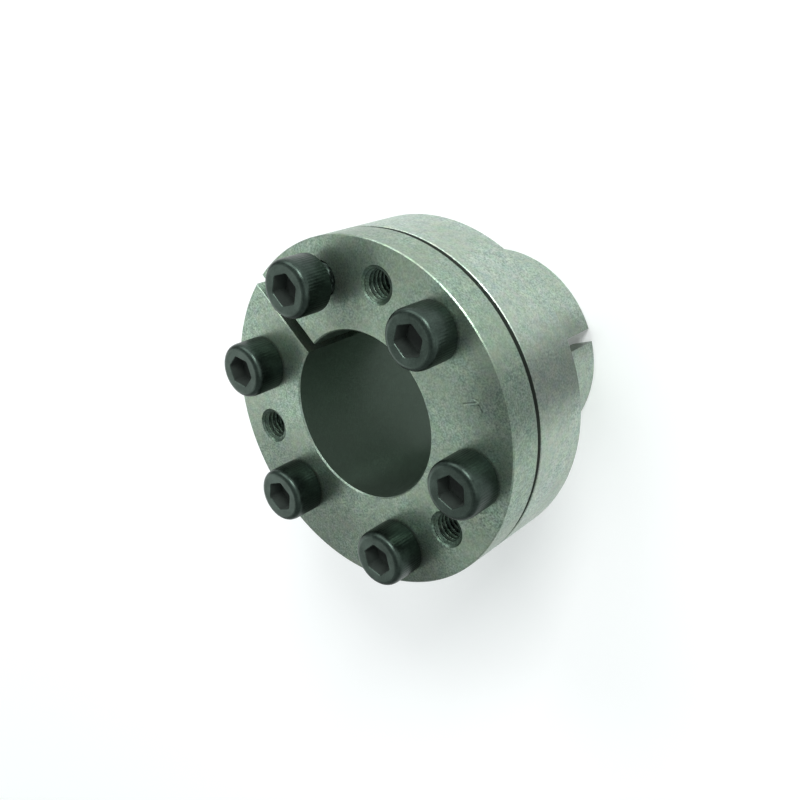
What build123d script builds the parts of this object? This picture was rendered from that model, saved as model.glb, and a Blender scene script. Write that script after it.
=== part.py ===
"""Keyless locking assembly: two taper rings drawn together by six socket head cap screws.

It stands on the flat end of its sleeve. Z = 0 is that end, +Z runs along the bore towards
the screw heads, and angles are counted from +X about +Z. All sizes are in millimetres.
"""
import os
from math import cos, radians, sin, tan

from build123d import *

os.makedirs("parts", exist_ok=True)

# Driving dimensions of the rings.
shaft_diameter = 30.0
wedge_thickness = 5.5  # radial space between shaft and hub, filled by the two tapers
flange_overhang = 10.5  # how far both flanges stand out beyond the sleeve, radially
sleeve_length = 23.5
outer_flange_thickness = 12.3
flange_gap = 1.1  # between the two flanges, closed up as the screws are tightened
inner_flange_thickness = 6.6
tail_recess = 2.5  # the thin end of the inner ring stops this far inside the sleeve
tail_wall = 1.3  # wall of the inner ring at its thin end
taper_angle = 4.7  # half angle of both tapers, in degrees
taper_clearance = 0.08  # radial, before the screws are tightened
slit_width = 2.5
sleeve_slit_count = 3

# Driving dimensions of the screws and their holes.
screw_count = 6
first_screw_angle = 30.0
screw_inset = 7.0  # from the rim of the flange to the screw axis
screw_diameter = 6.0
screw_length = 18.0  # below the head
head_diameter = 10.0
head_height = 6.0
socket_across_flats = 5.0
socket_depth = 3.0
screw_hole_clearance = 0.3  # radial, in the inner ring's flange
thread_clearance = 0.05  # radial, between the plain shank and the tapped hole
screw_count_before_loose = 1  # the screw after these is backed out of its seat
loose_screw_lift = 2.4
socket_turns = [56.0, 58.0, 31.0, 2.0, 25.0, 15.0]  # hexagon of each screw about its axis, degrees

# Jacking holes, which take spare screws that push the rings apart.
jacking_hole_count = 3
jacking_hole_diameter = 6.0
jacking_countersink_diameter = 6.6
countersink_angle = 90.0

# Edges.
rim_chamfer = 0.2
gap_edge_chamfer = 0.15  # on the outer ring's flange, where it faces the gap
bore_chamfer = 0.25
slit_edge_chamfer = 0.15  # on the front face, along the slit of the inner ring
taper_mouth_chamfer = 0.5  # clears the fillet under the inner ring's flange
sleeve_chamfer = 0.3
tail_chamfer = 0.3
flange_root_fillet = 0.4
head_chamfer = 0.5
tip_chamfer = 0.8
cut_margin = 1.0  # cutters reach this far past the faces they open

# Places worked out from the driving dimensions.
bore_radius = shaft_diameter / 2
sleeve_radius = bore_radius + wedge_thickness
flange_radius = sleeve_radius + flange_overhang
screw_circle_radius = flange_radius - screw_inset
outer_front = sleeve_length + outer_flange_thickness
inner_flange_rear = outer_front + flange_gap
front_face = inner_flange_rear + inner_flange_thickness
screw_pitch_angle = 360.0 / screw_count
slit_angle = first_screw_angle + 1.5 * screw_pitch_angle
jacking_angle = first_screw_angle + 0.5 * screw_pitch_angle
tapped_hole_radius = screw_diameter / 2
shank_radius = tapped_hole_radius - thread_clearance
slit_reach = flange_radius + cut_margin


def taper_radius(height):
    """Radius of the inner ring's taper, which widens towards the screw heads."""
    return bore_radius + tail_wall + (height - tail_recess) * tan(radians(taper_angle))


# Inner ring: a slit tapered sleeve with the front flange, turned and milled from one piece.
with BuildPart() as inner_ring:
    with BuildSketch(Plane.XZ):
        with BuildLine():
            Polyline(
                (bore_radius, tail_recess),
                (taper_radius(tail_recess), tail_recess),
                (taper_radius(inner_flange_rear), inner_flange_rear),
                (flange_radius, inner_flange_rear),
                (flange_radius, front_face),
                (bore_radius, front_face),
                close=True,
            )
        make_face()
    revolve(axis=Axis.Z)
    flange_rear_edges = inner_ring.edges().filter_by_position(
        Axis.Z, inner_flange_rear, inner_flange_rear
    )
    fillet(flange_rear_edges.sort_by(SortBy.RADIUS)[0], flange_root_fillet)
    chamfer(inner_ring.edges().group_by(Axis.Z)[-1].sort_by(SortBy.RADIUS)[-1], rim_chamfer)
    chamfer(inner_ring.edges().group_by(Axis.Z)[-1].sort_by(SortBy.RADIUS)[0], bore_chamfer)
    chamfer(inner_ring.edges().group_by(Axis.Z)[0].sort_by(SortBy.RADIUS)[-1], tail_chamfer)
    # Clearance holes for the screws.
    with BuildSketch(Plane.XY.offset(front_face)):
        with PolarLocations(screw_circle_radius, screw_count, start_angle=first_screw_angle):
            Circle(tapped_hole_radius + screw_hole_clearance)
    extrude(amount=-inner_flange_thickness, mode=Mode.SUBTRACT)
    # Tapped jacking holes, countersunk at the front.
    with Locations(Plane.XY.offset(front_face)):
        with PolarLocations(screw_circle_radius, jacking_hole_count, start_angle=jacking_angle):
            CounterSinkHole(
                radius=jacking_hole_diameter / 2,
                counter_sink_radius=jacking_countersink_diameter / 2,
                depth=inner_flange_thickness,
                counter_sink_angle=countersink_angle,
            )
    # The slit runs through the whole ring, so that the bore can close on the shaft.
    with BuildSketch(Plane.XY):
        with PolarLocations(slit_reach / 2, 1, start_angle=slit_angle):
            Rectangle(slit_reach, slit_width)
    extrude(amount=front_face + cut_margin, mode=Mode.SUBTRACT)
    slit_edges = inner_ring.edges().group_by(Axis.Z)[-1].filter_by(GeomType.LINE)
    chamfer(slit_edges, slit_edge_chamfer)
inner_ring.part.label = "inner_ring"
export_step(inner_ring.part, "parts/inner_ring.step")

# Outer ring: a solid flange with the tapped holes, and a slit sleeve that widens in the hub.
with BuildPart() as outer_ring:
    with BuildSketch(Plane.XZ):
        with BuildLine():
            Polyline(
                (taper_radius(0) + taper_clearance, 0),
                (sleeve_radius, 0),
                (sleeve_radius, sleeve_length),
                (flange_radius, sleeve_length),
                (flange_radius, outer_front),
                (taper_radius(outer_front) + taper_clearance, outer_front),
                close=True,
            )
        make_face()
    revolve(axis=Axis.Z)
    chamfer(outer_ring.edges().group_by(Axis.Z)[-1].sort_by(SortBy.RADIUS)[-1], gap_edge_chamfer)
    chamfer(outer_ring.edges().group_by(Axis.Z)[-1].sort_by(SortBy.RADIUS)[0], taper_mouth_chamfer)
    sleeve_top_edges = outer_ring.edges().filter_by_position(Axis.Z, sleeve_length, sleeve_length)
    chamfer(sleeve_top_edges.sort_by(SortBy.RADIUS)[-1], rim_chamfer)
    chamfer(outer_ring.edges().group_by(Axis.Z)[0].sort_by(SortBy.RADIUS)[-1], sleeve_chamfer)
    # Tapped holes for the screws, right through the flange.
    with BuildSketch(Plane.XY.offset(sleeve_length)):
        with PolarLocations(screw_circle_radius, screw_count, start_angle=first_screw_angle):
            Circle(tapped_hole_radius)
    extrude(amount=outer_flange_thickness, mode=Mode.SUBTRACT)
    # The sleeve is slit up to its flange, the flange itself stays whole.
    with BuildSketch(Plane.XY):
        with PolarLocations(slit_reach / 2, sleeve_slit_count, start_angle=slit_angle):
            Rectangle(slit_reach, slit_width)
    extrude(amount=sleeve_length, mode=Mode.SUBTRACT)
outer_ring.part.label = "outer_ring"
export_step(outer_ring.part, "parts/outer_ring.step")

# Socket head cap screws, all alike. Their threads are fine detail and their shanks are plain.
for number in range(1, screw_count + 1):
    angle = radians(first_screw_angle + (number - 1) * screw_pitch_angle)
    seat = front_face + (loose_screw_lift if number - 1 == screw_count_before_loose else 0)
    under_head = Plane((screw_circle_radius * cos(angle), screw_circle_radius * sin(angle), seat))
    with BuildPart() as cap_screw:
        with BuildSketch(under_head):
            Circle(head_diameter / 2)
        extrude(amount=head_height)
        chamfer(cap_screw.edges().group_by(Axis.Z)[-1], head_chamfer)
        with BuildSketch(under_head):
            Circle(shank_radius)
        extrude(amount=-screw_length)
        chamfer(cap_screw.edges().group_by(Axis.Z)[0], tip_chamfer)
        with BuildSketch(under_head.offset(head_height)):
            RegularPolygon(
                socket_across_flats / 2,
                side_count=6,
                major_radius=False,
                rotation=socket_turns[number - 1],
            )
        extrude(amount=-socket_depth, mode=Mode.SUBTRACT)
    cap_screw.part.label = f"cap_screw_{number}"
    export_step(cap_screw.part, f"parts/cap_screw_{number}.step")
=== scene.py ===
"""Keyless locking assembly: two slit taper rings drawn together by six socket head cap screws.

Everything is in metres. The bore runs along +Z, and the part stands on its sleeve's flat end.
"""
from math import cos, pi, radians, sin

import bpy
import numpy as np
from mathutils import Matrix, Vector


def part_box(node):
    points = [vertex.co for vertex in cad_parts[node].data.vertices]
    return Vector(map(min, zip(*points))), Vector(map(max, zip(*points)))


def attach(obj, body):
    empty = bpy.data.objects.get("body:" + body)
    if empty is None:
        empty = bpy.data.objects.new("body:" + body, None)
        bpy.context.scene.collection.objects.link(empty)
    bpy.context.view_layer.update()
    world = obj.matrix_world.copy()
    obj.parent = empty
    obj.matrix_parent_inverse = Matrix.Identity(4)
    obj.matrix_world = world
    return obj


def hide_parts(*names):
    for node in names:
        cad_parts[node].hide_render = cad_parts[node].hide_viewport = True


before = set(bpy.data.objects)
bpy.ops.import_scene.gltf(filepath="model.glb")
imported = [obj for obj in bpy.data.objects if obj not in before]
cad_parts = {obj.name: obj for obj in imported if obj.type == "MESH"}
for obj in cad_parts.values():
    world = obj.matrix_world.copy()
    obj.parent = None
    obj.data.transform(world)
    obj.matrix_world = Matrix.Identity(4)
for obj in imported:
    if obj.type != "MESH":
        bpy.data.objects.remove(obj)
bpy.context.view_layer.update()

MM = 0.001

# ---------------------------------------------------------------------------
# The rings: medium carbon steel, turned, slit with a saw, then tumbled and lightly phosphated to
# a satin, finely mottled grey with a cold green cast. The bore is finish-turned after that, and
# the outer ring's front is painted dark, as painted shade for the gap between the flanges. The
# frame gives their shapes, this only their finish.

BORE_EDGE = (15.0 + 0.03) * MM  # the bore's radius and a little more, to take in all of its wall
FRONT_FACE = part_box("inner_ring")[1].z
OUTER_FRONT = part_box("outer_ring")[1].z
GAP_SHADE_ABOVE = OUTER_FRONT - 0.01 * MM  # just under the flat front, to take in all of it

GRAIN_SIZE = 0.36 * MM  # tumbled grain, drawn a little coarse so that it shows
GRAIN_SPREAD = 0.16  # most of the grain stays this close to its middle level
BLOTCH_SIZE = 1.5 * MM
BLOTCH_SHARE = 0.25  # how much the blotches shift the tone, next to the grain's 1
CLOUD_SIZE = 9.0 * MM  # uneven phosphate coat
CLOUD_RANGE = (0.4, 0.65)  # the levels where the stain begins and where it is strongest
CLOUD_COVER = 0.6  # how much of the stain shows there
TINT_SHARE = 0.15
GLOSS_SPREAD = 0.06  # the palest grain is smoother by this, and the darkest rougher
EDGE_BREAK = 0.09 * MM  # tumbling takes the sharpness off every edge
METALLIC = 0.92
PATCH_COVER = 0.88  # the rest of a patch's tone still comes from the grain

# Painted shade along the axis: darker patches standing in for the shade and the dark reflections
# round the part. x and y of each patch, how far it reaches round them, in mm, and the share of
# light it keeps.
INNER_PAINTED_SHADE = ((31, -1, 13, 0.45), (10, 29, 9, 0.85), (3, 18, 8, 0.65), (-20, -22, 30, 0.45),
                 (2, -31, 18, 0.35), (-28, -5, 14, 0.7))
OUTER_PAINTED_SHADE = ((31, -0.5, 12, 0.36), (21, 1, 8, 0.6))
# Fine corrosion pits near the rim: x and y of the middle, and how far they reach, in mm.
PITTED = ((20.5, -17.5, 8),)
PIT_SIZE = 0.55 * MM
PIT_RANGE = (0.52, 0.6)  # the levels where a pit begins and where it is full
PIT_SHADE = 0.55
PIT_DEPTH = 1.0  # in heights of the grain
# A nick on the front face, from a slipped tool: x and y of both ends of each line, its half
# width, in mm, and the share of light it keeps. The dark lines are the grooves with painted shade
# in them, and the bright lines are painted highlights on the burr thrown up.
PAINTED_NICK_SHADE_AND_HIGHLIGHTS = ((22.8, 0.2, 25.5, 0.14, 0.17, 0.5), (24.2, -0.31, 25.75, -0.38, 0.16, 0.6),
        (24.8, 0.86, 26.0, 0.44, 0.17, 0.6), (25.8, -0.36, 26.1, -1.46, 0.28, 0.45),
        (23.1, -0.1, 25.5, -0.13, 0.13, 1.5), (25.0, 0.68, 25.8, -0.05, 0.16, 1.6))
NICK_DEPTH = 5.0  # in heights of the grain, where no light is kept

# The mix node has its sockets for colours at these numbers.
FIRST, SECOND, MIXED = 6, 7, 2


def linear(code):
    """Turns an sRGB hex colour into the linear colour that a shader wants."""
    part = np.array([int(code[i:i + 2], 16) for i in (0, 2, 4)]) / 255
    part = np.where(part <= 0.04045, part / 12.92, ((part + 0.055) / 1.055) ** 2.4)
    return (*part, 1.0)


def add_node(tree, kind, inputs=None, **settings):
    """Adds a node, sets its properties, and fills its inputs with values or links."""
    node = tree.nodes.new(kind)
    for name, value in settings.items():
        setattr(node, name, value)
    for name, value in (inputs or {}).items():
        if isinstance(value, bpy.types.NodeSocket):
            tree.links.new(value, node.inputs[name])
        else:
            node.inputs[name].default_value = value
    return node


def new_material(name):
    """An empty node material and its tree, with an output node already in place."""
    material = bpy.data.materials.new(name)
    material.use_nodes = True
    tree = material.node_tree
    tree.nodes.clear()
    output = tree.nodes.new("ShaderNodeOutputMaterial")
    return material, tree, output


def from_line(tree, place, x, y):
    """How far the place is from the line along the axis through x and y."""
    flat = add_node(tree, "ShaderNodeVectorMath", {0: place, 1: (1, 1, 0)}, operation="MULTIPLY")
    away = add_node(tree, "ShaderNodeVectorMath", {0: flat.outputs["Vector"], 1: (x, y, 0)},
                    operation="DISTANCE")
    return away.outputs["Value"]


def round_area(tree, place, x, y, reach):
    """1 on the line along the axis through x and y, falling smoothly to 0 at the reach."""
    area = add_node(tree, "ShaderNodeMapRange",
                    {"Value": from_line(tree, place, x, y), "From Max": reach,
                     "To Min": 1.0, "To Max": 0.0}, interpolation_type="SMOOTHERSTEP")
    return area.outputs["Result"]


def scratch_line(tree, place, start, end, half_width):
    """1 along a straight scratch, falling to 0 at its half width.

    A place's share of the way is its offset from the start, dotted with the scratch and divided
    by its length squared, held between 0 and 1. The distance is to the point at that share.
    """
    start, scratch = Vector(start), Vector(end) - Vector(start)
    offset = add_node(tree, "ShaderNodeVectorMath", {0: place, 1: start}, operation="SUBTRACT")
    along = add_node(tree, "ShaderNodeVectorMath",
                     {0: offset.outputs["Vector"], 1: scratch / scratch.length_squared},
                     operation="DOT_PRODUCT")
    share = add_node(tree, "ShaderNodeClamp", {"Value": along.outputs["Value"]})
    nearest = add_node(tree, "ShaderNodeVectorMath", {0: scratch, "Scale": share.outputs["Result"]},
                       operation="SCALE")
    away = add_node(tree, "ShaderNodeVectorMath",
                    {0: offset.outputs["Vector"], 1: nearest.outputs["Vector"]},
                    operation="DISTANCE")
    line = add_node(tree, "ShaderNodeMapRange",
                    {"Value": away.outputs["Value"], "From Max": half_width,
                     "To Min": 1.0, "To Max": 0.0}, interpolation_type="SMOOTHSTEP")
    return line.outputs["Result"]


def marked(tree, colour, height, amount, shade, depth):
    """A mark in the coat: its colour times the shade, its height less the depth, by the amount."""
    # A shade above 1 paints a highlight.
    shaded = add_node(tree, "ShaderNodeMix",
                      {"Factor": amount, FIRST: colour, SECOND: (shade, shade, shade, 1.0)},
                      data_type="RGBA", blend_type="MULTIPLY")
    lowered = add_node(tree, "ShaderNodeMath", {0: amount, 1: -depth, 2: height},
                       operation="MULTIPLY_ADD")
    return shaded.outputs[MIXED], lowered.outputs["Value"]


def worn(tree, place, colour, height, painted_shades, pitted, nick_shade_and_highlights):
    """The coat's colour and height with painted shade, pits and a nick with painted light.

    Pits are the high spots of a fine noise, as far as a round area says.
    """
    # Painted shade: the steel darkened in patches along the axis.
    for x, y, reach, shade in painted_shades:
        painted_shade_mix = add_node(tree, "ShaderNodeMix",
                          {"Factor": round_area(tree, place, x * MM, y * MM, reach * MM),
                           FIRST: colour, SECOND: (shade, shade, shade, 1.0)},
                          data_type="RGBA", blend_type="MULTIPLY")
        colour = painted_shade_mix.outputs[MIXED]
    for x, y, reach in pitted:
        specks = add_node(tree, "ShaderNodeTexNoise",
                          {"Vector": place, "Scale": 1 / PIT_SIZE, "Detail": 2.0})
        pits = add_node(tree, "ShaderNodeMapRange",
                        {"Value": specks.outputs["Fac"], "From Min": PIT_RANGE[0],
                         "From Max": PIT_RANGE[1]})
        amount = add_node(tree, "ShaderNodeMath",
                          {0: pits.outputs["Result"],
                           1: round_area(tree, place, x * MM, y * MM, reach * MM)},
                          operation="MULTIPLY")
        colour, height = marked(tree, colour, height, amount.outputs["Value"], PIT_SHADE, PIT_DEPTH)
    # The nick: painted shade in its grooves, and painted highlights on its burr where the share is
    # above 1.
    for x0, y0, x1, y1, half_width, shade in nick_shade_and_highlights:
        line = scratch_line(tree, place, (x0 * MM, y0 * MM, FRONT_FACE),
                            (x1 * MM, y1 * MM, FRONT_FACE), half_width * MM)
        colour, height = marked(tree, colour, height, line, shade, NICK_DEPTH * (1 - shade))
    return colour, height


def patched(tree, look, inside, colour, metallic, roughness):
    """A look with another finish inside a patch, where a little of the grain still shows."""
    cover = add_node(tree, "ShaderNodeMath", {0: inside, 1: PATCH_COVER}, operation="MULTIPLY")
    covered = add_node(tree, "ShaderNodeMix",
                       {"Factor": cover.outputs["Value"], FIRST: look["Base Color"],
                        SECOND: linear(colour)}, data_type="RGBA")
    metal = add_node(tree, "ShaderNodeMix",
                     {"Factor": inside, "A": look["Metallic"], "B": metallic}, data_type="FLOAT")
    gloss = add_node(tree, "ShaderNodeMix",
                     {"Factor": inside, "A": look["Roughness"], "B": roughness}, data_type="FLOAT")
    return {"Base Color": covered.outputs[MIXED], "Metallic": metal.outputs["Result"],
            "Roughness": gloss.outputs["Result"]}


def steel_finish(name, dark, light, stain, roughness, grain_depth, painted_shades=(), pitted=(),
                 nick_shade_and_highlights=(), patch=None):
    """Satin tumbled steel: fine grain over soft clouds, on both colour and roughness.

    The grain sets the tone between dark and light. Clouds of a middle size shift it, and large
    clouds blend in the stain. A trace of each noise's own colour gives the faint temper tints.
    A patch is a function that gives where it lies and its own colour, metal and roughness.
    """
    material, tree, output = new_material(name)
    place = add_node(tree, "ShaderNodeTexCoord").outputs["Object"]
    grain = add_node(tree, "ShaderNodeTexNoise",
                     {"Vector": place, "Scale": 1 / GRAIN_SIZE, "Detail": 4.0, "Roughness": 0.65})
    blotches = add_node(tree, "ShaderNodeTexNoise",
                        {"Vector": place, "Scale": 1 / BLOTCH_SIZE, "Detail": 3.0})
    clouds = add_node(tree, "ShaderNodeTexNoise",
                      {"Vector": place, "Scale": 1 / CLOUD_SIZE, "Detail": 2.0})
    level = add_node(tree, "ShaderNodeMath",
                     {0: blotches.outputs["Fac"], 1: BLOTCH_SHARE, 2: grain.outputs["Fac"]},
                     operation="MULTIPLY_ADD")
    middle = 0.5 + 0.5 * BLOTCH_SHARE
    tone = add_node(tree, "ShaderNodeMapRange",
                    {"Value": level.outputs["Value"], "From Min": middle - GRAIN_SPREAD,
                     "From Max": middle + GRAIN_SPREAD})
    mottled = add_node(tree, "ShaderNodeMix",
                       {"Factor": tone.outputs["Result"], FIRST: linear(dark),
                        SECOND: linear(light)}, data_type="RGBA")
    cloudy = add_node(tree, "ShaderNodeMapRange",
                      {"Value": clouds.outputs["Fac"], "From Min": CLOUD_RANGE[0],
                       "From Max": CLOUD_RANGE[1], "To Max": CLOUD_COVER})
    stained = add_node(tree, "ShaderNodeMix",
                       {"Factor": cloudy.outputs["Result"], FIRST: mottled.outputs[MIXED],
                        SECOND: linear(stain)}, data_type="RGBA")
    colour, height = worn(tree, place, stained.outputs[MIXED], grain.outputs["Fac"],
                          painted_shades, pitted, nick_shade_and_highlights)
    tinted = add_node(tree, "ShaderNodeMix",
                      {"Factor": TINT_SHARE, FIRST: colour, SECOND: blotches.outputs["Color"]},
                      data_type="RGBA", blend_type="OVERLAY")
    rough = add_node(tree, "ShaderNodeMapRange",
                     {"Value": tone.outputs["Result"], "To Min": roughness + GLOSS_SPREAD,
                      "To Max": roughness - GLOSS_SPREAD})
    edge = add_node(tree, "ShaderNodeBevel", {"Radius": EDGE_BREAK}, samples=4)
    bump = add_node(tree, "ShaderNodeBump",
                    {"Height": height, "Distance": grain_depth, "Strength": 1.0,
                     "Normal": edge.outputs["Normal"]})
    look = {"Base Color": tinted.outputs[MIXED], "Metallic": METALLIC,
            "Roughness": rough.outputs["Result"]}
    if patch:
        look = patched(tree, look, *patch(tree, place))
    shader = add_node(tree, "ShaderNodeBsdfPrincipled", {**look, "Normal": bump.outputs["Normal"]})
    tree.links.new(shader.outputs["BSDF"], output.inputs["Surface"])
    return material


def turned_bore(tree, place):
    """The bore's wall, finish-turned after tumbling, which is smoother and more even."""
    inside = add_node(tree, "ShaderNodeMath", {0: from_line(tree, place, 0, 0), 1: BORE_EDGE},
                      operation="LESS_THAN")
    return inside.outputs["Value"], "94a599", 0.96, 0.31


def gap_front_painted_shade(tree, place):
    """Painted shade on the outer ring's flat front, so that the gap shows as a dark line."""
    height = add_node(tree, "ShaderNodeSeparateXYZ", {"Vector": place})
    above = add_node(tree, "ShaderNodeMath", {0: height.outputs["Z"], 1: GAP_SHADE_ABOVE},
                     operation="GREATER_THAN")
    return above.outputs["Value"], "222824", 0.3, 0.5


# The inner ring's coat is darker, and the outer ring's paler and a little duller.
inner_steel = steel_finish("tumbled_phosphated_steel_inner", "6b7d70", "9fb4a3", "879483",
                           roughness=0.38, grain_depth=0.008 * MM, painted_shades=INNER_PAINTED_SHADE,
                           pitted=PITTED, nick_shade_and_highlights=PAINTED_NICK_SHADE_AND_HIGHLIGHTS, patch=turned_bore)
outer_steel = steel_finish("tumbled_phosphated_steel_outer", "839187", "b7c7bb", "9ba798",
                           roughness=0.42, grain_depth=0.008 * MM, painted_shades=OUTER_PAINTED_SHADE,
                           patch=gap_front_painted_shade)
for ring, material in (("inner_ring", inner_steel), ("outer_ring", outer_steel)):
    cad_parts[ring].data.materials.clear()
    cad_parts[ring].data.materials.append(material)

# ---------------------------------------------------------------------------
# Screw threads in the rings: M6 coarse, cut by a tap, and coloured darker than the rings as
# painted shade down in the holes. Three jacking holes run through the front flange, and six holes
# for the screws run through the rear flange.

PITCH = 1.0 * MM
HOLE_RADIUS = 3.0 * MM
SCREW_CIRCLE = 24.0 * MM
SLEEVE_LENGTH = 23.5 * MM
FLANGE_GAP = 1.1 * MM
COUNTERSINK_DEPTH = 0.3 * MM
HEAD_HEIGHT = 6.0 * MM
JACKING_ANGLES = (60, 180, 300)
SCREW_ANGLES = (30, 90, 150, 210, 270, 330)
THREAD_DEPTH = 0.55 * MM
CREST_FLAT = 0.125  # both in pitches
ROOT_FLAT = 0.25
LEAD_IN = 0.2 * MM  # the crests rise to their full height over this much of the hole's ends
SKIN = 0.015 * MM  # the threads lie this much inside the plain holes
BURIED = 3 * SKIN  # the outside of each threaded tube lies this deep in the ring
TUBE_COLUMNS = 72
TUBE_ROWS_PER_PITCH = 10
SHARP_FROM = 32  # faces that meet at more degrees than this keep a sharp edge

# Darker than the rings: painted shade for the threads down in the holes.
tap_steel_painted_shade = steel_finish("tap_cut_steel_painted_shade", "3b4a40", "64786a", "536357",
                            roughness=0.4, grain_depth=0.003 * MM)


def surface(name, points, wrap_rows, material):
    """A mesh from a grid of points: columns always join into a ring, and rows do if wrapped.

    Where rows aren't wrapped, the first and the last row are closed by a fan to their centre.
    """
    rows, columns = points.shape[:2]
    index = np.arange(rows * columns).reshape(rows, columns)
    low = index if wrap_rows else index[:-1]
    high = np.roll(index, -1, axis=0) if wrap_rows else index[1:]
    corners = [low, np.roll(low, -1, axis=1), np.roll(high, -1, axis=1), high]
    faces = np.stack(corners, axis=-1).reshape(-1, 4).tolist()
    vertices = points.reshape(-1, 3)
    if not wrap_rows:
        first = np.full(columns, len(vertices))
        last = first + 1
        vertices = np.concatenate([vertices, [points[0].mean(0), points[-1].mean(0)]])
        faces += np.stack([np.roll(index[0], -1), index[0], first], axis=-1).tolist()
        faces += np.stack([index[-1], np.roll(index[-1], -1), last], axis=-1).tolist()
    mesh = bpy.data.meshes.new(name)
    mesh.from_pydata(vertices.tolist(), [], faces)
    mesh.shade_smooth()
    mesh.set_sharp_from_angle(angle=radians(SHARP_FROM))
    mesh.materials.append(material)
    piece = bpy.data.objects.new(name, mesh)
    bpy.context.scene.collection.objects.link(piece)
    return piece


def groove(turn, height):
    """How deep a 60 degree right-hand thread is cut there, from 0 on the crest to 1 in the root.

    The phase is the height in pitches less the turn in revolutions. A triangle wave of it gives
    the flanks, and clipping it gives the flats on crest and root.
    """
    phase = (height / PITCH - turn / (2 * pi)) % 1.0
    return np.clip((1 - np.abs(2 * phase - 1) - CREST_FLAT) / (1 - CREST_FLAT - ROOT_FLAT), 0, 1)


def tapped_thread(name, body, angle, low, high, seat, mouth=0.0):
    """The threaded wall of a hole: a thin tube whose inner wall carries the thread.

    Inner radius = hole radius less the crest height, which rises over the lead-in at both ends.
    With a mouth, the tube ends in a 45 degree countersink of that depth.
    """
    rows = int(round((high - low) / PITCH * TUBE_ROWS_PER_PITCH)) + 1
    turn = np.linspace(0, 2 * pi, TUBE_COLUMNS, endpoint=False)[None, :]
    height = np.linspace(low, high, rows)[:, None] + 0 * turn
    to_end = np.minimum(height - low, high - height)
    crest = THREAD_DEPTH * groove(turn, height - seat) * np.minimum(to_end / LEAD_IN, 1)
    inner = HOLE_RADIUS - SKIN - crest
    # The other rows, as how far they lie beyond the hole's wall and above its end: the rim of the
    # countersink and the back of it, then the outside of the tube.
    others = [(mouth - SKIN, mouth - SKIN / 4), (mouth + SKIN, mouth - BURIED)] if mouth else []
    others += [(BURIED, -SKIN), (BURIED, low - high)]
    radius = np.concatenate([inner, [HOLE_RADIUS + out + 0 * turn[0] for out, _ in others]])
    level = np.concatenate([height, [high + up + 0 * turn[0] for _, up in others]])
    along = radians(angle)
    points = np.stack([SCREW_CIRCLE * cos(along) + radius * np.cos(turn),
                       SCREW_CIRCLE * sin(along) + radius * np.sin(turn), level], axis=-1)
    piece = surface(name, points[::-1], True, tap_steel_painted_shade)
    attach(piece, body)


for number, angle in enumerate(JACKING_ANGLES, 1):
    tapped_thread(f"jacking_thread_{number}", "inner_ring", angle,
                  OUTER_FRONT + FLANGE_GAP, FRONT_FACE - COUNTERSINK_DEPTH, FRONT_FACE,
                  mouth=COUNTERSINK_DEPTH)
# The other threads are in step with their screws, whose threads are counted from the seats.
for number, angle in enumerate(SCREW_ANGLES, 1):
    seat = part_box(f"cap_screw_{number}")[1].z - HEAD_HEIGHT
    tapped_thread(f"flange_thread_{number}", "outer_ring", angle, SLEEVE_LENGTH, OUTER_FRONT, seat)

# ---------------------------------------------------------------------------
# Cap screws: M6 by 18, cold-formed alloy steel with a knurled head and a hexagon socket,
# hardened and blackened in a hot oxide bath. The oxide is a thin oily black with a soft sheen.

HEAD_RADIUS = 5.0 * MM
HEAD_ROUND = 1.0 * MM
HEAD_FOOT = 0.4 * MM  # how far the head's lower edge is taken off
FOOT_BREAK = 0.25 * MM  # the height at which the knurl runs out into that edge
SOCKET_HALF = 2.5 * MM  # half of the 5 mm across flats
SOCKET_DEPTH = 3.0 * MM
SOCKET_CORNER = 2.8 * MM  # the punch rounds the corners off at this radius
SOCKET_BEVEL = 0.1 * MM
SOCKET_INSIDE = 2.9 * MM  # everything nearer the axis than this lies inside the socket
DRILL_RADIUS = 2.3 * MM  # the socket is drilled before it is punched
DRILL_POINT = 0.4 * MM
SOCKET_TURNS = (56, 58, 31, 2, 25, 15)
KNURL_TEETH = 60
KNURL_DEPTH = 0.045 * MM
KNURL_MARGIN = 0.15 * MM  # plain band between the knurl and the rounded edge
COLUMNS_PER_TOOTH = 4
SHANK_RADIUS = 2.94 * MM
SHANK_LENGTH = 18.0 * MM
NECK_FILLET = 0.35 * MM  # under the head
NECK_WAIST = 0.1 * MM  # how far the middle of that fillet stays off the shank and off the seat
TIP_CHAMFER = 0.8 * MM
SCREW_ROWS_PER_PITCH = 8
OXIDE_GRAIN = 0.3 * MM  # drawn coarse so that it shows
OXIDE_DEPTH = 0.002 * MM
OIL_FILM = 2.2 * MM  # patches where the oil lies thicker
OIL_SHARE = 0.6  # how much of the tone the oil sets, and the grain the rest
TONE_RANGE = (0.38, 0.68)  # the levels of the darkest and the palest tone
OXIDE_RANGE = (0.3, 0.7)  # the grain's levels between which the roughness changes
OXIDE_SPREAD = 0.05  # how much the grain changes the roughness, up and down


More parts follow.
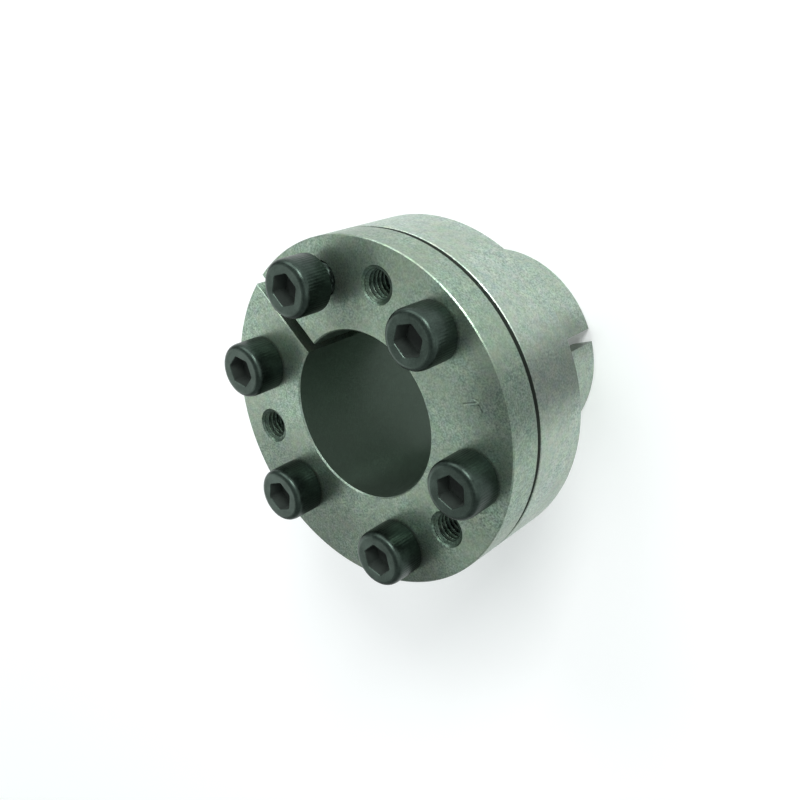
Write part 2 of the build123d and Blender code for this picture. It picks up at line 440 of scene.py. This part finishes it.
def black_oxide(name, dark, light, roughness, metallic=1.0):
    """Hot black oxide on steel: almost black metal with an oily sheen and small pale wear."""
    material, tree, output = new_material(name)
    place = add_node(tree, "ShaderNodeTexCoord").outputs["Object"]
    grain = add_node(tree, "ShaderNodeTexNoise",
                     {"Vector": place, "Scale": 1 / OXIDE_GRAIN, "Detail": 3.0})
    film = add_node(tree, "ShaderNodeTexNoise",
                    {"Vector": place, "Scale": 1 / OIL_FILM, "Detail": 2.0})
    level = add_node(tree, "ShaderNodeMix",
                     {"Factor": OIL_SHARE, "A": grain.outputs["Fac"], "B": film.outputs["Fac"]},
                     data_type="FLOAT")
    tone = add_node(tree, "ShaderNodeMapRange",
                    {"Value": level.outputs["Result"], "From Min": TONE_RANGE[0],
                     "From Max": TONE_RANGE[1]})
    colour = add_node(tree, "ShaderNodeMix",
                      {"Factor": tone.outputs["Result"], FIRST: linear(dark),
                       SECOND: linear(light)}, data_type="RGBA")
    rough = add_node(tree, "ShaderNodeMapRange",
                     {"Value": grain.outputs["Fac"], "From Min": OXIDE_RANGE[0],
                      "From Max": OXIDE_RANGE[1], "To Min": roughness - OXIDE_SPREAD,
                      "To Max": roughness + OXIDE_SPREAD})
    bump = add_node(tree, "ShaderNodeBump",
                    {"Height": grain.outputs["Fac"], "Distance": OXIDE_DEPTH})
    shader = add_node(tree, "ShaderNodeBsdfPrincipled",
                      {"Base Color": colour.outputs[MIXED], "Metallic": metallic,
                       "Roughness": rough.outputs["Result"], "Normal": bump.outputs["Normal"]})
    tree.links.new(shader.outputs["BSDF"], output.inputs["Surface"])
    return material


# The top of the head is a paler copy of the oxide: painted light on the face turned to the light.
screw_black = black_oxide("black_oxide_alloy_steel", "2f3934", "414d47", 0.36)
painted_lit_top_black = black_oxide("painted_lit_black_oxide_top", "38433d", "4a5750", 0.34)
# In the socket oil gathers and takes the sheen, and its darker colour is painted shade in the
# recess.
oily_painted_shade_socket = black_oxide("oily_black_oxide_socket_painted_shade", "252c28", "2f3833", 0.6, metallic=0.0)


def screw_surface(socket_turn):
    """A whole screw as one grid, seat at height 0: a profile of rows carried round the axis.

    Each row has a radius and a height for every turn. From inside out they are the drill point,
    a cone; the socket, a hexagon whose radius is half the across flats over the cosine of the
    turn from the middle of the flat, held to the radius of its rounded corners and bevelled at
    the mouth; the flat end and its rim, a quarter circle; the knurl, a cosine of the turn that
    dips between teeth; the neck; and the shank, which is cut by the thread's groove or, at the
    tip, by the chamfer. Rows close to an edge keep the smooth shading from running over it.
    """
    start = radians(socket_turn)
    turn = start + np.linspace(0, 2 * pi, COLUMNS_PER_TOOTH * KNURL_TEETH, endpoint=False)
    hexagon = SOCKET_HALF / np.cos((turn - start) % (pi / 3) - pi / 6)
    hexagon = np.minimum(hexagon, SOCKET_CORNER)
    knurl = HEAD_RADIUS - KNURL_DEPTH * (0.5 - 0.5 * np.cos(KNURL_TEETH * (turn - start)))
    floor = HEAD_HEIGHT - SOCKET_DEPTH
    mouth = HEAD_HEIGHT - SOCKET_BEVEL
    flat_end = HEAD_RADIUS - HEAD_ROUND
    rows = [(DRILL_RADIUS * share, floor - DRILL_POINT * (1 - share))
            for share in (0.02, 0.35, 0.7, 0.97, 1.0)]
    rows += [(hexagon * share, floor) for share in (0.97, 1.0)]
    rows += [(hexagon, floor + (mouth - floor) * share) for share in (0.04, 0.5, 0.96, 1.0)]
    rows += [((1 - share) * (hexagon + SOCKET_BEVEL) + share * flat_end, HEAD_HEIGHT)
             for share in (0.0, 0.05, 0.95, 1.0)]
    rows += [(flat_end + (HEAD_ROUND - KNURL_DEPTH) * sin(lean),
              HEAD_HEIGHT - HEAD_ROUND * (1 - cos(lean)))
             for lean in np.linspace(0, pi / 2, 6)[1:]]
    rows += [(knurl, level) for level in
             (HEAD_HEIGHT - HEAD_ROUND - KNURL_MARGIN, 0.45 * HEAD_HEIGHT, HEAD_FOOT)]
    rows += [(HEAD_RADIUS - KNURL_DEPTH, FOOT_BREAK), (HEAD_RADIUS - HEAD_FOOT, 0),
             (SHANK_RADIUS + NECK_FILLET, 0), (SHANK_RADIUS + NECK_WAIST, -NECK_WAIST)]
    count = int(round((SHANK_LENGTH - NECK_FILLET) / PITCH * SCREW_ROWS_PER_PITCH)) + 1
    level = np.linspace(-NECK_FILLET, -SHANK_LENGTH, count)[:, None]
    cut = np.maximum(THREAD_DEPTH * groove(turn, level), TIP_CHAMFER - (level + SHANK_LENGTH))
    radius = np.concatenate([[row[0] + 0 * turn for row in rows], SHANK_RADIUS - cut])
    height = np.concatenate([[row[1] + 0 * turn for row in rows], level + 0 * turn])
    return np.stack([radius * np.cos(turn), radius * np.sin(turn), height], axis=-1)


def colour_head(screw, centre):
    """Gives the faces inside the socket the second material, and the top of the head the third."""
    faces = screw.data.polygons
    middle = np.empty(3 * len(faces))
    faces.foreach_get("center", middle)
    across, deep, up = middle.reshape(-1, 3).T - centre[:, None]
    bevel = HEAD_HEIGHT - SOCKET_BEVEL
    in_socket = (up > 0) & (np.hypot(across, deep) < SOCKET_INSIDE)
    faces.foreach_set("material_index", np.where(up > bevel, 2, in_socket).astype(np.int32))


for number, (angle, socket_turn) in enumerate(zip(SCREW_ANGLES, SOCKET_TURNS), 1):
    node = f"cap_screw_{number}"
    along = radians(angle)
    centre = np.array([SCREW_CIRCLE * cos(along), SCREW_CIRCLE * sin(along),
                       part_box(node)[1].z - HEAD_HEIGHT])
    screw = surface(f"knurled_{node}", screw_surface(socket_turn) + centre, False, screw_black)
    screw.data.materials.append(oily_painted_shade_socket)
    screw.data.materials.append(painted_lit_top_black)
    colour_head(screw, centre)
    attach(screw, f"screw_{number}")
    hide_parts(node)

# ---------------------------------------------------------------------------
# Studio: backlit white paper under the sleeve's end, and four soft light boxes round the part in
# a pale room. The camera looks down on the screw heads from the side, rolled over to one side.

FLOOR_HALF = 2.0
BACKLIGHT = 0.12  # lifts the lit paper to white without adding light to the part
LAMP_DISTANCE = 1.0
ROOM_LIGHT = 0.9
CAMERA_PLACE = Vector((112.64, 25.92, 147.65)) * MM
CAMERA_RIGHT = Vector((0.71594, -0.27226, -0.64288))
CAMERA_UP = Vector((0.08872, 0.94884, -0.30303))
SENSOR_WIDTH = 36.0  # as on a full frame camera, in mm like the focal length
FOCAL_LENGTH = 41.04
SHIFT_DOWN = -0.0025

paper, tree, output = new_material("backlit_paper")
matt = add_node(tree, "ShaderNodeBsdfDiffuse", {"Color": linear("f4f6f6")})
ray = add_node(tree, "ShaderNodeLightPath")
seen = add_node(tree, "ShaderNodeMath",
                {0: ray.outputs["Is Camera Ray"], 1: ray.outputs["Is Glossy Ray"]},
                operation="ADD")
strength = add_node(tree, "ShaderNodeMath", {0: seen.outputs["Value"], 1: BACKLIGHT},
                    operation="MULTIPLY")
glow = add_node(tree, "ShaderNodeEmission",
                {"Color": linear("ffffff"), "Strength": strength.outputs["Value"]})
lit_paper = add_node(tree, "ShaderNodeAddShader",
                     {0: matt.outputs["BSDF"], 1: glow.outputs["Emission"]})
tree.links.new(lit_paper.outputs["Shader"], output.inputs["Surface"])
floor_mesh = bpy.data.meshes.new("floor")
floor_mesh.from_pydata([(x * FLOOR_HALF, y * FLOOR_HALF, 0)
                        for x, y in ((-1, -1), (1, -1), (1, 1), (-1, 1))], [], [(0, 1, 2, 3)])
floor_mesh.materials.append(paper)
studio_floor = bpy.data.objects.new("floor", floor_mesh)
bpy.context.scene.collection.objects.link(studio_floor)


def light_box(name, direction, size, radiance):
    """A square soft light facing the part; its power is radiance times area times pi."""
    lamp = bpy.data.lights.new(name, "AREA")
    lamp.size = size
    lamp.energy = radiance * size * size * pi
    holder = bpy.data.objects.new(name, lamp)
    towards = Vector(direction).normalized()
    holder.matrix_world = Matrix.Translation(towards * LAMP_DISTANCE) @ \
        towards.to_track_quat("Z", "Y").to_matrix().to_4x4()
    bpy.context.scene.collection.objects.link(holder)


light_box("key", (0.62, 0.6, 0.5), size=0.35, radiance=18.0)
light_box("side_sky", (-0.05, 0.88, 0.47), size=0.6, radiance=3.5)
light_box("far_wall", (-0.92, -0.05, 0.42), size=0.8, radiance=1.2)
light_box("near_window", (0.85, -0.25, 0.45), size=0.8, radiance=1.0)

world = bpy.data.worlds.new("studio")
bpy.context.scene.world = world
world.use_nodes = True
room = world.node_tree.nodes["Background"]
room.inputs["Color"].default_value = linear("c0c4c4")
room.inputs["Strength"].default_value = ROOM_LIGHT

camera_data = bpy.data.cameras.new("camera")
camera_data.sensor_width = SENSOR_WIDTH
camera_data.lens = FOCAL_LENGTH
camera_data.shift_y = SHIFT_DOWN
camera_data.clip_start = 10 * MM
camera = bpy.data.objects.new("camera", camera_data)
camera_axes = Matrix((CAMERA_RIGHT, CAMERA_UP, CAMERA_RIGHT.cross(CAMERA_UP))).transposed()
camera.matrix_world = Matrix.Translation(CAMERA_PLACE) @ camera_axes.to_4x4()
bpy.context.scene.collection.objects.link(camera)
bpy.context.scene.camera = camera
bpy.context.scene.view_settings.view_transform = "Standard"
